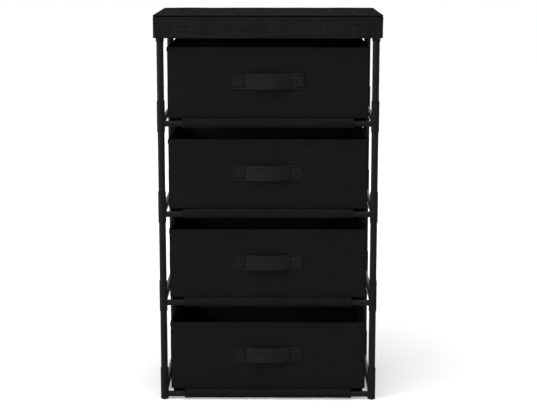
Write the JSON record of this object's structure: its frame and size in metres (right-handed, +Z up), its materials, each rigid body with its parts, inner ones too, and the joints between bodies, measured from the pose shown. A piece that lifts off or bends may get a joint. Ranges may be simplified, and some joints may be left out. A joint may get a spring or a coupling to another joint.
{
  "type": "fabric drawer dresser",
  "caption": "Tall narrow dresser: stacked steel tube frame in moulded corner connectors, fabric slings as shelves, sliding fabric drawers with strap handles, fabric-covered top.",
  "frame": {"origin": "on the floor, under the middle of the dresser", "axes": "+Z up, drawers open towards -Y, +X to the right seen from the front"},
  "size_m": [0.45, 0.3, 0.785],
  "materials": {
    "frame_steel": "black powder coat, semi-gloss",
    "connector_plastic": "black moulded, satin",
    "drawer_fabric": "black embossed non-woven",
    "lining_fabric": "thin black non-woven",
    "sling_fabric": "black non-woven, sewn tunnels",
    "cover_fabric": "black non-woven, sewn skirt",
    "strap_webbing": "black webbing",
    "fibreboard": "bare thin fibreboard"
  },
  "bodies": {
    "frame": {"foot_connectors": "connector_plastic", "tier_3_connectors": "connector_plastic", "tier_2_connectors": "connector_plastic", "tier_1_connectors": "connector_plastic", "top_connectors": "connector_plastic", "top_rods": "frame_steel", "tier_1_post_tubes": "frame_steel", "tier_1_cross_rods": "frame_steel", "tier_1_side_rods": "frame_steel", "tier_1_sling": "sling_fabric", "tier_1_shelf_board": "fibreboard", "tier_2_post_tubes": "frame_steel", "tier_2_cross_rods": "frame_steel", "tier_2_side_rods": "frame_steel", "tier_2_sling": "sling_fabric", "tier_2_shelf_board": "fibreboard", "tier_3_post_tubes": "frame_steel", "tier_3_cross_rods": "frame_steel", "tier_3_side_rods": "frame_steel", "tier_3_sling": "sling_fabric", "tier_3_shelf_board": "fibreboard", "tier_4_post_tubes": "frame_steel", "tier_4_cross_rods": "frame_steel", "tier_4_side_rods": "frame_steel", "tier_4_sling": "sling_fabric", "tier_4_shelf_board": "fibreboard", "top_board": "fibreboard", "top_cover": "cover_fabric"},
    "drawer_1": {"drawer_1_fabric": "drawer_fabric", "drawer_1_lining": "lining_fabric", "drawer_1_front_board": "fibreboard", "drawer_1_back_board": "fibreboard", "drawer_1_side_boards": "fibreboard", "drawer_1_base_board": "fibreboard", "drawer_1_strap": "strap_webbing"},
    "drawer_2": {"drawer_2_fabric": "drawer_fabric", "drawer_2_lining": "lining_fabric", "drawer_2_front_board": "fibreboard", "drawer_2_back_board": "fibreboard", "drawer_2_side_boards": "fibreboard", "drawer_2_base_board": "fibreboard", "drawer_2_strap": "strap_webbing"},
    "drawer_3": {"drawer_3_fabric": "drawer_fabric", "drawer_3_lining": "lining_fabric", "drawer_3_front_board": "fibreboard", "drawer_3_back_board": "fibreboard", "drawer_3_side_boards": "fibreboard", "drawer_3_base_board": "fibreboard", "drawer_3_strap": "strap_webbing"},
    "drawer_4": {"drawer_4_fabric": "drawer_fabric", "drawer_4_lining": "lining_fabric", "drawer_4_front_board": "fibreboard", "drawer_4_back_board": "fibreboard", "drawer_4_side_boards": "fibreboard", "drawer_4_base_board": "fibreboard", "drawer_4_strap": "strap_webbing"}
  },
  "joints": [
    {"name": "drawer_1_slide", "type": "slide", "parent": "frame", "child": "drawer_1", "axis": [0, -1, 0], "range_m": [0, 0.2]},
    {"name": "drawer_2_slide", "type": "slide", "parent": "frame", "child": "drawer_2", "axis": [0, -1, 0], "range_m": [0, 0.2]},
    {"name": "drawer_3_slide", "type": "slide", "parent": "frame", "child": "drawer_3", "axis": [0, -1, 0], "range_m": [0, 0.2]},
    {"name": "drawer_4_slide", "type": "slide", "parent": "frame", "child": "drawer_4", "axis": [0, -1, 0], "range_m": [0, 0.2]}
  ]
}
